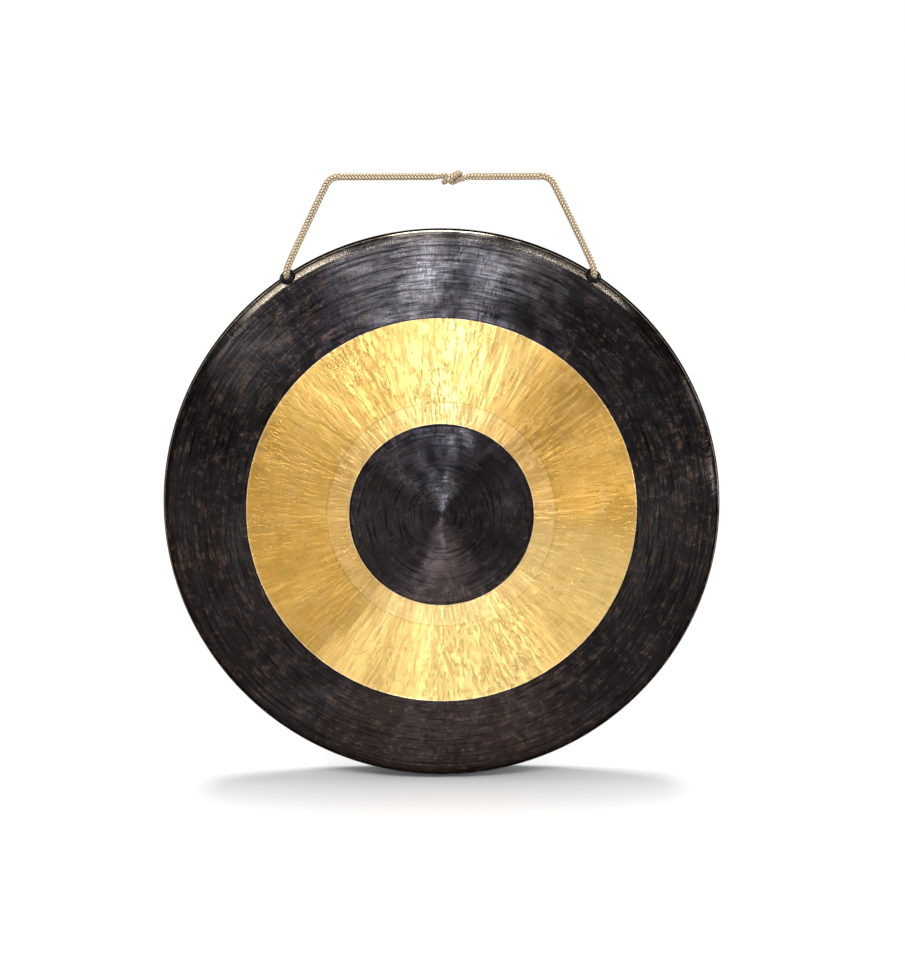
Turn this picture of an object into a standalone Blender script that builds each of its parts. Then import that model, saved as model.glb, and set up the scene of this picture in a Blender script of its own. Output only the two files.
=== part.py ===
"""Hanging tam-tam: a hammered bronze disc with a turned-back rim, hung on one knotted cord.

Metres, +Z up, the struck face towards -Y. The origin is the middle of the line on which
the cord hangs: its straight top run lies along X there, and a hook holds each end of it.
"""

import math

import bmesh
import bpy
from mathutils import Matrix, Vector

# Disc
disc_diameter = 0.500
wall = 0.0022
rim_depth = 0.038       # back edge to where the face runs into the shoulder
dome_height = 0.008     # how far the middle of the face stands out
shoulder_radius = 0.013
lip_chamfer = 0.0005
band_inner_diameter = 0.1636   # the bright ring scraped through the black skin
band_outer_diameter = 0.3468
band_cut = 0.0002       # how deep it is scraped, on both faces
disc_drop = 0.2928      # hanging line to the disc's centre
disc_sides = 96

# Holes and grommets
hole_angle = math.radians(32.3)   # from the top of the disc to each hole
hole_tilt = math.radians(50.0)    # the hole's axis, away from the disc's own
waist_diameter = 0.0112
flange_diameter = 0.0144
bore_diameter = 0.0085
flange_front = 0.0026    # how far the grommet stands out in front
flange_back = 0.0040     # and behind the wall
mouth_round = 0.0013     # both ends of the bore
flange_round = 0.0011    # the flanges' outer edges
grommet_sides = 32

# Cord
cord_diameter = 0.006
hook_reach = 0.0940      # middle of the top run to the corner at each hook
bend_radius = 0.012      # tightest bend of the cord's centreline outside its knot
bore_bend_start = 0.0034 # how deep in the bore the cord runs square to the hole
bore_offset = 0.00095    # how far it keeps off the side that it turns over
pivot_turn = math.radians(36.5)   # how far it has turned where the disc rocks on it
corner_run = 0.0085      # from where each leg swings to the corner at its hook
knot_place = 0.0105      # middle of the knot, right of the middle of the top run
knot_half = 0.0190       # middle of the knot to each of its ends
knot_cord_diameter = 0.0046  # the cord where the knot draws it thin
knot_front_diameter = 0.0054 # and where it crosses in front
cord_sides = 4           # steps in a quarter of the cord's section

# Clearances
gap = 0.0003
seat_gap = 0.0003

bronze = (0.80, 0.62, 0.29)
patina = (0.045, 0.042, 0.048)
rubber = (0.012, 0.012, 0.013)
cream = (0.80, 0.72, 0.56)

disc_radius = disc_diameter / 2
dome_radius = disc_radius - shoulder_radius
cord_radius = cord_diameter / 2
hook_split = hook_reach - corner_run


def clear_scene():
    for thing in list(bpy.data.objects):
        bpy.data.objects.remove(thing, do_unlink=True)


def make_material(name, colour, roughness, metallic):
    material = bpy.data.materials.new(name)
    material.use_nodes = True
    shader = material.node_tree.nodes["Principled BSDF"]
    shader.inputs["Base Color"].default_value = (*colour, 1.0)
    shader.inputs["Roughness"].default_value = roughness
    shader.inputs["Metallic"].default_value = metallic
    return material


def add_object(name, bm, materials, parent=None):
    """Make an object of a mesh given in world space, with its origin at its parent's."""
    anchor = parent.location if parent else Vector((0, 0, 0))
    bmesh.ops.translate(bm, vec=-anchor, verts=bm.verts)
    mesh = bpy.data.meshes.new(name)
    bm.to_mesh(mesh)
    bm.free()
    for material in materials:
        mesh.materials.append(material)
    mesh.shade_smooth()
    mesh.set_sharp_from_angle(angle=math.radians(35))
    thing = bpy.data.objects.new(name, mesh)
    bpy.context.collection.objects.link(thing)
    thing.parent = parent
    return thing


def add_pivot(name, location, parent=None):
    pivot = bpy.data.objects.new(name, None)
    pivot.empty_display_size = 0.02
    bpy.context.collection.objects.link(pivot)
    pivot.parent = parent
    pivot.location = Vector(location) - (parent.location if parent else Vector((0, 0, 0)))
    return pivot


def arc(centre_r, centre_y, radius, first, last, steps):
    """Points (r, y) on an arc, its angle measured from straight ahead (-y) towards +r."""
    points = []
    for i in range(steps + 1):
        angle = first + (last - first) * i / steps
        points.append((centre_r + radius * math.sin(angle), centre_y - radius * math.cos(angle)))
    return points


def face(offset, band_offset):
    """Points (r, y) on one side of the domed face, from the axis out, less its last one.

    Offsets are measured back from the black skin of the front, band_offset inside the band.
    """
    inner = band_inner_diameter / 2
    outer = band_outer_diameter / 2
    radii = [(inner * share, offset) for share in (0, 1 / 3, 2 / 3, 1)]
    radii += [(inner + (outer - inner) * share, band_offset) for share in (0, 1 / 3, 2 / 3, 1)]
    radii += [(outer + (dome_radius - outer) * share, offset) for share in (0, 1 / 3, 2 / 3)]
    points = []
    for radius, back in radii:
        stand_out = dome_height * (1 - (radius / dome_radius) ** 2)
        points.append((radius, -rim_depth - stand_out + back))
    return points


def disc_section(grown):
    """Half of the disc's section from the axis out and back again, grown on both sides."""
    shoulder_steps = 8
    quarter = math.pi / 2
    centre_y = -rim_depth + shoulder_radius
    outside = face(-grown, band_cut - grown)
    outside += arc(dome_radius, centre_y, shoulder_radius + grown, 0, quarter, shoulder_steps)
    inside = arc(dome_radius, centre_y, shoulder_radius - wall - grown, quarter, 0, shoulder_steps)
    inside += reversed(face(wall + grown, wall - band_cut + grown))
    outer_lip = disc_radius + grown
    inner_lip = disc_radius - wall - grown
    edge = [
        (outer_lip, -lip_chamfer),
        (outer_lip - lip_chamfer, grown),
        (inner_lip + lip_chamfer, grown),
        (inner_lip, -lip_chamfer),
    ]
    return outside + edge + inside


def centroid_of_turned(section):
    """How far along the axis a section's turned solid has its centre of mass."""
    volume = 0.0
    moment = 0.0
    for (r0, y0), (r1, y1) in zip(section, section[1:] + section[:1]):
        cross = r0 * y1 - r1 * y0
        volume += cross * (r0 + r1)
        moment += cross * (r0 * (2 * y0 + y1) + r1 * (y0 + 2 * y1)) / 4
    return moment / volume


disc_back = -centroid_of_turned(disc_section(0.0))  # back edge behind the hanging line


def turned_disc(grown):
    """The disc as a solid of revolution about Y, hung plumb under the hanging line."""
    bm = bmesh.new()
    ring = [bm.verts.new((r, y, 0.0)) for r, y in disc_section(grown)]
    edges = [bm.edges.new(pair) for pair in zip(ring, ring[1:] + ring[:1])]
    bmesh.ops.spin(
        bm, geom=ring + edges, cent=(0, 0, 0), axis=(0, 1, 0), angle=math.tau,
        steps=disc_sides, use_merge=True,
    )
    bmesh.ops.remove_doubles(bm, verts=bm.verts, dist=1e-6)
    bmesh.ops.dissolve_degenerate(bm, dist=1e-6, edges=bm.edges)
    bmesh.ops.delete(bm, geom=[e for e in bm.edges if not e.link_faces], context="EDGES")
    bmesh.ops.recalc_face_normals(bm, faces=bm.faces)
    bmesh.ops.translate(bm, vec=(0, disc_back, -disc_drop), verts=bm.verts)
    return bm


def hole_axis(side):
    """The hole's outward direction. side is -1 at the left and 1 at the right."""
    return Vector((
        side * math.sin(hole_angle) * math.sin(hole_tilt),
        -math.cos(hole_tilt),
        math.cos(hole_angle) * math.sin(hole_tilt),
    ))


def hole_centre(side):
    """Where the hole's axis meets the front surface of the shoulder."""
    radius = dome_radius + shoulder_radius * math.sin(hole_tilt)
    return Vector((
        side * radius * math.sin(hole_angle),
        disc_back - rim_depth + shoulder_radius * (1 - math.cos(hole_tilt)),
        radius * math.cos(hole_angle) - disc_drop,
    ))


def hole_frame(side):
    """Turns a solid made about Z, its zero at the front surface, onto the hole's axis."""
    turn = Vector((0, 0, 1)).rotation_difference(hole_axis(side)).to_matrix().to_4x4()
    return Matrix.Translation(hole_centre(side)) @ turn


def rod(diameter, low, high, side, sides):
    bm = bmesh.new()
    bmesh.ops.create_cone(
        bm, cap_ends=True, segments=sides, radius1=diameter / 2, radius2=diameter / 2,
        depth=high - low, matrix=Matrix.Translation((0, 0, (high + low) / 2)),
    )
    bmesh.ops.transform(bm, matrix=hole_frame(side), verts=bm.verts)
    return bm


def grommet_blank(side):
    """The grommet before the wall's slot is cut: flanges and bore, turned about the hole."""
    bore = bore_diameter / 2
    flange = flange_diameter / 2
    top = flange_front
    bottom = -wall - flange_back
    quarter = math.pi / 2
    section = []
    for centre_r, centre_z, radius, first in (
        (bore + mouth_round, bottom + mouth_round, mouth_round, 2 * quarter),
        (bore + mouth_round, top - mouth_round, mouth_round, quarter),
        (flange - flange_round, top - flange_round, flange_round, 0),
        (flange - flange_round, bottom + flange_round, flange_round, -quarter),
    ):
        start = first + quarter
        for i in range(4):
            angle = start - quarter * i / 3
            section.append((centre_r + radius * math.cos(angle), centre_z + radius * math.sin(angle)))
    bm = bmesh.new()
    ring = [bm.verts.new((r, 0.0, z)) for r, z in section]
    edges = [bm.edges.new(pair) for pair in zip(ring, ring[1:] + ring[:1])]
    bmesh.ops.spin(
        bm, geom=ring + edges, cent=(0, 0, 0), axis=(0, 0, 1), angle=math.tau,
        steps=grommet_sides, use_merge=True,
    )
    bmesh.ops.remove_doubles(bm, verts=bm.verts, dist=1e-6)
    bmesh.ops.recalc_face_normals(bm, faces=bm.faces)
    bmesh.ops.transform(bm, matrix=hole_frame(side), verts=bm.verts)
    return bm


def add_cutter(name, bm, parent):
    cutter = add_object(name, bm, [], parent)
    cutter.hide_render = True
    cutter.display_type = "WIRE"
    return cutter


def cut(thing, cutter):
    modifier = thing.modifiers.new("Cut", "BOOLEAN")
    modifier.operation = "DIFFERENCE"
    modifier.solver = "EXACT"
    modifier.object = cutter


def mark_band(bm):
    """Give the ring that is scraped bright the second finish."""
    for part in bm.faces:
        middle = part.calc_center_median()
        reach = math.hypot(middle.x, middle.z + disc_drop)
        if band_inner_diameter < 2 * reach < band_outer_diameter:
            part.material_index = 1


def build_disc(pivot, finishes):
    blank = turned_disc(0.0)
    mark_band(blank)
    disc = add_object("gong_disc", blank, finishes, pivot)
    for side, word in ((-1, "left"), (1, "right")):
        drill = rod(
            waist_diameter + 2 * seat_gap, -wall - shoulder_radius / 2, shoulder_radius / 2,
            side, grommet_sides,
        )
        cut(disc, add_cutter("hole_cutter_" + word, drill, pivot))


def build_grommet(side, word, pivot, finish):
    """A grommet whose slot follows the shoulder, a seat's gap off the wall all round."""
    grommet = add_object("grommet_" + word, grommet_blank(side), [finish], pivot)
    slot = add_cutter("slot_cutter_" + word, turned_disc(seat_gap), pivot)
    core = rod(
        waist_diameter, -wall - shoulder_radius / 2, shoulder_radius / 2, side, grommet_sides,
    )
    cut(slot, add_cutter("waist_keeper_" + word, core, pivot))
    cut(grommet, slot)


def turned_route(side, way, first, last, steps):
    """Points on the cord's bend out of the bore.

    way is 1 for the bend in front of the wall, up towards the hook, and -1 for the one
    behind it, towards the other hole. Angles count from the middle of the bore.
    """
    axis = hole_axis(side)
    corner = Vector((side * hook_reach, 0, 0))
    towards = {
        1: (corner - hole_centre(side) - axis * flange_front).normalized(),
        -1: Vector((-side, 0, 0)),
    }
    sideways = {key: (d - axis * d.dot(axis)).normalized() for key, d in towards.items()}
    start = hole_centre(side) - axis * bore_bend_start
    start -= (sideways[1] + sideways[-1]).normalized() * bore_offset
    full = math.acos(axis.dot(towards[way]) * way)
    last = full if last is None else last
    points = []
    for i in range(steps + 1):
        angle = first + (last - first) * i / steps
        along = axis * (way * bend_radius * math.sin(angle))
        across = sideways[way] * (bend_radius * (1 - math.cos(angle)))
        points.append(start + along + across)
    return points


def smooth_route(points, spacing):
    """Points on a smooth curve through a route's own points, about a spacing apart."""
    padded = [points[0] * 2 - points[1], *points, points[-1] * 2 - points[-2]]
    route = [points[0]]
    for p0, p1, p2, p3 in zip(padded, padded[1:], padded[2:], padded[3:]):
        t1 = math.sqrt((p1 - p0).length)
        t2 = t1 + math.sqrt((p2 - p1).length)
        t3 = t2 + math.sqrt((p3 - p2).length)
        steps = max(1, round((p2 - p1).length / spacing))
        for i in range(1, steps + 1):
            t = t1 + (t2 - t1) * i / steps
            a1 = p0 + (p1 - p0) * (t / t1)
            a2 = p1 + (p2 - p1) * ((t - t1) / (t2 - t1))
            a3 = p2 + (p3 - p2) * ((t - t2) / (t3 - t2))
            b1 = a1 + (a2 - a1) * (t / t2)
            b2 = a2 + (a3 - a2) * ((t - t1) / (t3 - t1))
            route.append(b1 + (b2 - b1) * ((t - t1) / (t2 - t1)))
    return route


def add_tube(name, route, finish, parent=None, shares=None):
    """A stretch of cord along a route; shares scale its radius from point to point."""
    anchor = Vector((0, 0, 0))
    above = parent
    while above:
        anchor += above.location
        above = above.parent
    curve = bpy.data.curves.new(name, "CURVE")
    curve.dimensions = "3D"
    curve.bevel_depth = cord_radius
    curve.bevel_resolution = cord_sides
    curve.use_fill_caps = True
    curve.materials.append(finish)
    spline = curve.splines.new("POLY")
    spline.points.add(len(route) - 1)
    for i, (point, place) in enumerate(zip(spline.points, route)):
        point.co = (*(place - anchor), 1.0)
        point.radius = shares[i] if shares else 1.0
    spline.use_smooth = True
    thing = bpy.data.objects.new(name, curve)
    bpy.context.collection.objects.link(thing)
    thing.parent = parent
    return thing


def knot_route():
    """The cord through its overhand knot, from the left end to the right one."""
    route = (
        (-19, 0, 0),
        (-15, 0, 0),
        (-11.2, 0.1, 0.2),
        (-8.1, 0.2, 0.6),
        (-5, 0.5, 0.5),
        (-2.6, 0.9, -1.4),
        (-1.3, 2.4, -3.7),
        (0.4, 4.9, -4.4),
        (2.8, 6.7, -3.5),
        (5.1, 7, -1.4),
        (6.5, 5.7, 0.9),
        (6.8, 3.1, 2.7),
        (5.9, 0.1, 3.1),
        (3.8, -2.3, 2.3),
        (1.3, -3.6, 0.7),
        (-1.1, -4.6, -1.1),
        (-3.6, -4.5, -2.8),
        (-5.8, -2.5, -4.1),
        (-6.9, 0.6, -4.5),
        (-6.5, 3.6, -3.5),
        (-4.9, 5.6, -1.6),
        (-2.3, 5.9, 0),
        (0.4, 4.6, 0.8),
        (2.5, 2.6, -0.2),
        (4.9, 1.6, -2),
        (7.9, 0.9, -2.1),
        (11, 0.3, -0.9),
        (15, 0, 0),
        (19, 0, 0),
    )
    millimetre = 0.001
    middle = Vector((knot_place, 0, 0))
    return [middle + Vector(p) * millimetre for p in route]


def knot_share(point):
    """How thick the cord is in the knot: thin inside it, less so where it crosses in front."""
    thin = knot_cord_diameter / cord_diameter
    front = knot_front_diameter / cord_diameter
    thin += (front - thin) * max(0.0, min(1.0, -point.y / cord_radius - 0.3))
    out = abs(point.x - knot_place) / knot_half
    return thin + (1 - thin) * max(0.0, min(1.0, (out - 0.6) / 0.3))


def least_gap(route, apart):
    """The least gap between stretches of the knot that lie a length apart along it."""
    fine = smooth_route(route, cord_diameter / 12)
    radii = [cord_radius * knot_share(p) for p in fine]
    along = [0.0]
    for a, b in zip(fine, fine[1:]):
        along.append(along[-1] + (b - a).length)
    least = math.inf
    for i, a in enumerate(fine):
        for j in range(i + 1, len(fine)):
            if along[j] - along[i] > apart:
                least = min(least, (fine[j] - a).length - radii[i] - radii[j])
    return least


def build_knot(finish):
    route = knot_route()
    add_tube("cord_knot", route, finish, None, [knot_share(p) for p in route])
    print("least gap in the knot, mm:", round(1000 * least_gap(route, 2 * cord_diameter), 2))


def build_top_run(side, word, finish):
    start = Vector((knot_place + side * (knot_half + gap), 0, 0))
    end = Vector((side * hook_split, 0, 0))
    add_tube("cord_top_" + word, smooth_route([start, end], 2.2 * cord_diameter), finish)


def build_leg(side, word, parent, finish):
    """From the hook, round its bend and down to a round end where the disc rocks."""
    bend = (
        (side * (hook_split + gap), 0, 0),
        (side * (hook_reach - 0.0070), 0, 0),
        (side * (hook_reach - 0.0040), 0, -0.0005),
        (side * (hook_reach - 0.0012), 0, -0.0019),
        (side * (hook_reach + 0.0016), 0, -0.0043),
        (side * (hook_reach + 0.0038), 0, -0.0079),
    )
    bore = turned_route(side, 1, pivot_turn, None, 2)
    route = smooth_route([*map(Vector, bend), *reversed(bore)], 2.2 * cord_diameter)
    shares = [1.0] * len(route)
    end = route[-1]
    down = (route[-1] - route[-2]).normalized()
    for turn in (30, 55, 75):
        angle = math.radians(turn)
        route.append(end + down * (cord_radius * math.sin(angle)))
        shares.append(math.cos(angle))
    add_tube("cord_leg_" + word, route, finish, parent, shares)


def build_back_run(parent, finish):
    """Through the left bore, across behind the face and out through the right bore."""
    start = pivot_turn - (cord_radius + 1.5 * gap) / bend_radius
    left = list(reversed(turned_route(-1, 1, 0, start, 2)))
    left += turned_route(-1, -1, 0, None, 4)[1:]
    right = [Vector((-p.x, p.y, p.z)) for p in reversed(left)]
    add_tube("cord_back", smooth_route(left + right, 2.2 * cord_diameter), finish, parent)


def main():
    clear_scene()
    black_skin = make_material("black oxide", patina, 0.42, 0.85)
    scraped = make_material("scraped bronze", bronze, 0.3, 1.0)
    black_rubber = make_material("grommet rubber", rubber, 0.35, 0.0)
    braid = make_material("braided cord", cream, 0.85, 0.0)
    hook_line = add_pivot("hook_line", (0, 0, 0))
    rocking_point = turned_route(1, 1, 0, pivot_turn, 1)[-1]
    rocking_line = add_pivot("rocking_line", (0, rocking_point.y, rocking_point.z), hook_line)
    build_disc(rocking_line, [black_skin, scraped])
    build_knot(braid)
    build_back_run(rocking_line, braid)
    for side, word in ((-1, "left"), (1, "right")):
        build_grommet(side, word, rocking_line, black_rubber)
        build_top_run(side, word, braid)
        build_leg(side, word, hook_line, braid)


main()
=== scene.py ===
import math

import bmesh
import bpy
import numpy as np
from mathutils import Matrix, Vector, noise


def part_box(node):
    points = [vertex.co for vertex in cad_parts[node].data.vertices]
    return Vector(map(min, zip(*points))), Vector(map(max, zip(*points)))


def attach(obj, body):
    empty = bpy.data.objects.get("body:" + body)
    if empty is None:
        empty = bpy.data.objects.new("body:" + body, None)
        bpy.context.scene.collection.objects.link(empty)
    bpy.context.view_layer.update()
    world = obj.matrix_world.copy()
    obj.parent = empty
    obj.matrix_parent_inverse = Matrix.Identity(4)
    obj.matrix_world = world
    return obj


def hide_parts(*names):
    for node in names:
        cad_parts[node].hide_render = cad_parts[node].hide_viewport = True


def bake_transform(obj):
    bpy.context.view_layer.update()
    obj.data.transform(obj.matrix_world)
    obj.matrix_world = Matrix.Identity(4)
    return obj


# Hanging tam-tam: hammered bronze, a ring scraped bright, one knotted cord through two grommets.
# Metres, +Z up, struck face towards -Y. The cord's straight top run lies on the X axis.

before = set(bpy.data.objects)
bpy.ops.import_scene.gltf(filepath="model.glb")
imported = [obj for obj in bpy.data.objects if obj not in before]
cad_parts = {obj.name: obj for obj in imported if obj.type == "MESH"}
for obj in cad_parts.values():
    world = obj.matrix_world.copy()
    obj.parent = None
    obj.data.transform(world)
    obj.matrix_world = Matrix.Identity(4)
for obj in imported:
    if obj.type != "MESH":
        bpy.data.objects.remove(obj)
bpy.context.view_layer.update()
print("frame loaded:", len(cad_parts), "solids")

mm = 0.001
weld = 0.001 * mm          # points nearer than this are one
rng = np.random.default_rng(20)


# Small helpers

def newMesh(name, bm, materials):
    mesh = bpy.data.meshes.new(name)
    bm.to_mesh(mesh)
    bm.free()
    for material in materials:
        mesh.materials.append(material)
    piece = bpy.data.objects.new(name, mesh)
    bpy.context.scene.collection.objects.link(piece)
    return piece


def readPoints(mesh):
    points = np.empty(len(mesh.vertices) * 3)
    mesh.vertices.foreach_get("co", points)
    return points.reshape(-1, 3)


def writePoints(mesh, points):
    mesh.vertices.foreach_set("co", np.ascontiguousarray(points, dtype=np.float64).ravel())
    mesh.update()


def finishPiece(piece, body, nodes):
    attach(piece, body)
    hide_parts(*nodes)
    print("made", piece.name, len(piece.data.vertices), "points")


# Sizes that repeat those of the solid parts

disc = {
    "radius": 250 * mm,
    "wall": 2.2 * mm,
    "rimDepth": 38 * mm,
    "dome": 8 * mm,
    "shoulder": 13 * mm,
    "lipChamfer": 0.5 * mm,
    "bandInner": 81.8 * mm,
    "bandOuter": 173.4 * mm,
    "bandCut": 0.2 * mm,
    "cutSlope": 0.15 * mm,
    "drop": 292.8 * mm,
    "sides": 384,
    "frontStep": 2.1 * mm,
    "backStep": 4.2 * mm,
    "shoulderSteps": 12,
    "rimSteps": 8,
    "sharp": math.radians(30),
}
hole = {
    "angle": math.radians(32.3),
    "tilt": math.radians(50.0),
    "waist": 5.6 * mm,
    "flange": 7.2 * mm,
    "bore": 4.25 * mm,
    "front": 2.6 * mm,
    "back": 4.0 * mm,
    "mouthRound": 1.3 * mm,
    "flangeRound": 1.1 * mm,
    "seatGap": 0.3 * mm,
    "sides": 64,
    "roundSteps": 6,
    "slotStep": 30 * mm,
    "slotShoulderSteps": 24,
    "slotSides": 360,
    "sharp": math.radians(40),
}
cord = {
    "radius": 3.0 * mm,
    "hookReach": 94.0 * mm,
    "bend": 12 * mm,
    "boreBendStart": 3.4 * mm,
    "boreOffset": 0.95 * mm,
    "hookSplit": 85.5 * mm,
    "knotPlace": 10.5 * mm,
    "knotHalf": 19.0 * mm,
    "knotThin": 4.6 / 6,
    "knotFront": 5.4 / 6,
    "around": 64,
    "step": 0.36 * mm,
    "strands": 6,          # each way round
    "pick": 2.8 * mm,      # length of one crossing along the cord
    "relief": 0.55 * mm,
    "weld": 0.002 * mm,
}

domeRadius = disc["radius"] - disc["shoulder"]
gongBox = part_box("gong_disc")
discCentre = Vector((0, gongBox[1].y, -disc["drop"]))     # middle of the open back


# Materials

def newMaterial(name):
    material = bpy.data.materials.new(name)
    material.use_nodes = True
    tree = material.node_tree
    return material, tree, tree.nodes["Principled BSDF"]


def addNode(tree, kind, values=None, **settings):
    node = tree.nodes.new(kind)
    for key, value in settings.items():
        setattr(node, key, value)
    for key, value in (values or {}).items():
        node.inputs[key].default_value = value
    return node


def link(tree, source, target):
    tree.links.new(source, target)


def mathNode(tree, operation, first, second=None, third=None, clamp=False):
    node = addNode(tree, "ShaderNodeMath", operation=operation, use_clamp=clamp)
    for i, value in enumerate((first, second, third)):
        if value is None:
            continue
        if isinstance(value, (int, float)):
            node.inputs[i].default_value = value
        else:
            link(tree, value, node.inputs[i])
    return node.outputs[0]


def mixColour(tree, factor, first, second, blend="MIX"):
    node = addNode(tree, "ShaderNodeMix", data_type="RGBA", blend_type=blend)
    for i, value in ((0, factor), (6, first), (7, second)):
        socket = node.inputs[i]
        if isinstance(value, (int, float)):
            socket.default_value = value
        elif isinstance(value, tuple):
            socket.default_value = (*value, 1.0)
        else:
            link(tree, value, socket)
    return node.outputs[2]


def ramp(tree, factor, stops):
    node = addNode(tree, "ShaderNodeValToRGB")
    elements = node.color_ramp.elements
    while len(elements) < len(stops):
        elements.new(0.5)
    for element, (place, colour) in zip(elements, stops):
        element.position = place
        element.color = (*colour, 1.0)
    link(tree, factor, node.inputs[0])
    return node.outputs[0]


def rangeMap(tree, value, low, high, toLow=0.0, toHigh=1.0, smooth=True):
    easing = "SMOOTHSTEP" if smooth else "LINEAR"
    node = addNode(tree, "ShaderNodeMapRange", interpolation_type=easing)
    link(tree, value, node.inputs[0])
    for i, number in enumerate((low, high, toLow, toHigh)):
        node.inputs[i + 1].default_value = number
    return node.outputs[0]


def noiseTexture(tree, place, scale, detail=3.0, roughness=0.55, distortion=0.0):
    node = addNode(tree, "ShaderNodeTexNoise", {
        "Scale": scale, "Detail": detail, "Roughness": roughness, "Distortion": distortion,
    })
    link(tree, place, node.inputs["Vector"])
    return node.outputs["Fac"]


def multiply(tree, first, *others):
    for other in others:
        first = mathNode(tree, "MULTIPLY", first, other)
    return first


def mixValue(tree, factor, first, second):
    node = addNode(tree, "ShaderNodeMix", data_type="FLOAT")
    for i, source in ((0, factor), (2, first), (3, second)):
        link(tree, source, node.inputs[i])
    return node.outputs[0]


# A colour made darker or lighter by a number around 1
def shadeColour(tree, colour, amount):
    grey = mixColour(tree, amount, (0, 0, 0), (1, 1, 1))
    return mixColour(tree, 1.0, colour, grey, "MULTIPLY")


def newGroup(name, inputs, outputs):
    tree = bpy.data.node_groups.new(name, "ShaderNodeTree")
    for key, value in inputs.items():
        socket = tree.interface.new_socket(
            name=key, in_out="INPUT", socket_type="NodeSocketFloat",
        )
        socket.default_value = value
    for key in outputs:
        tree.interface.new_socket(name=key, in_out="OUTPUT", socket_type="NodeSocketFloat")
    return tree, tree.nodes.new("NodeGroupInput"), tree.nodes.new("NodeGroupOutput")


def placeGroup(tree, group, values):
    return addNode(tree, "ShaderNodeGroup", values, node_tree=group)


# The bronze: its colours, then where its marks lie from the middle of the disc
finish = {
    "gold": (0.69, 0.392, 0.086),
    "goldPale": (0.84, 0.62, 0.32),
    "goldDeep": (0.56, 0.308, 0.060),
    # A paler gold for the sectors where the highlight fans fall: painted highlight
    "goldHighlight": (0.88, 0.60, 0.20),
    "passLine": (0.30, 0.17, 0.04),
    "speck": (0.12, 0.06, 0.02),
    "blackSkin": (0.0145, 0.0125, 0.0130),
    # Blue-grey oxide in patches, and the painted sheen at the top of the black skin
    "blueSkinAndSheen": (0.235, 0.214, 0.200),
    # Brown where the bronze shows through, and the painted sheen at the bottom of the black skin
    "brownSkinAndSheen": (0.100, 0.064, 0.046),
    # Worn bronze, and the painted highlight on the rim's edge and the painted sheen on the shoulder
    "wornBronzeAndSheen": (0.50, 0.42, 0.32),
    "heatTint": (0.003, 0.004, 0.012),
    # Near black laid on the rim's front edge and in the groove: painted shade
    "rimAndGrooveShade": (0.010, 0.009, 0.009),
    "specularTint": (0.06, 0.05, 0.05, 1.0),
    "goldRoughness": 0.30,
    "skinRoughness": 0.21,
    "grain": 1.0,
    "edgeBlur": 0.30 * mm,
    "edgeWobble": 0.5 * mm,
    "tintWidth": 1.4 * mm,
    "edgeGlow": 1.1 * mm,
    "stepRadius": 100.5 * mm,      # where the inner pass of the scraping ends
    "groove": 235.5 * mm,
    "grooveWidth": 0.8 * mm,
    # A pale band on the shoulder beside the grommets: painted sheen
    "shoulderSheenRadius": 243.4 * mm,
    "shoulderSheenWidth": 3 * mm,
    "rimDark": 246.2 * mm,
    "wornSheenRadius": 247.6 * mm,
    "wornSheenWidth": 0.55 * mm,
}
# Noises in space: scale, detail, and for some roughness and distortion
bronzeNoises = {
    "wobble": (160.0, 2.0),
    "cloud": (11.0, 4.0, 0.6, 0.4),
    "mottle": (125.0, 5.0, 0.7, 0.6),
    "tone": (14.0, 4.0, 0.6, 0.3),
    "specks": (420.0, 2.0, 0.5),
    "patches": (22.0, 2.0),
    "pits": (300.0, 3.0, 0.6),
}
# Noises on rings: scale round the disc and outwards, a shift that keeps them apart, and detail
ringNoises = {
    "Dimples": (46.0, 95.0, 3.0, 2.0),
    "Streaks": (9.0, 420.0, 5.0, 4.0),
    "Hatch": (70.0, 40.0, 17.0, 2.0),
    "Circles": (1.3, 640.0, 23.0, 2.0),
    "Waves": (5.5, 9.0, 11.0, 3.0),
}
# Sectors of the disc: degrees from the top with a share, then the cosines where each fades in
sectorMasks = {
    "Beaten": (((-33, 1.0), (-8, 0.5), (78, 0.8), (163, 1.0), (-84, 0.5)), 0.90, 0.985),
    # The top sector where the black skin gets its painted sheen
    "SheenTop": (((4, 1.0), (-26, 0.15)), 0.80, 0.985),
    # Sectors at the top, bottom and right where the gold is painted paler: painted highlight
    "Bright": (((4, 0.6), (-30, 0.3), (123, 0.7), (168, 1.0), (192, 0.7)), 0.80, 0.98),
    # Sectors beside the grommets where the shoulder gets a painted sheen
    "ShoulderSheen": (((-32, 1.0), (30, 0.6)), 0.965, 0.995),
    # The bottom sector, and a little low on the left, where a brown sheen is painted
    "BottomSheen": (((178, 0.26), (-120, 0.06)), 0.75, 0.98),
}
# How far each mark stands out of the relief, or sinks into it, times the distance
relief = {
    "marks": 0.03,
    "hatch": 0.03,
    "dents": -0.45,
    "pits": 0.10,
    "waves": 1.25,
    "scratches": -0.02,
    "innerPass": -0.20,
    "groove": -0.15,
    "distance": 0.8 * mm,
}


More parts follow.
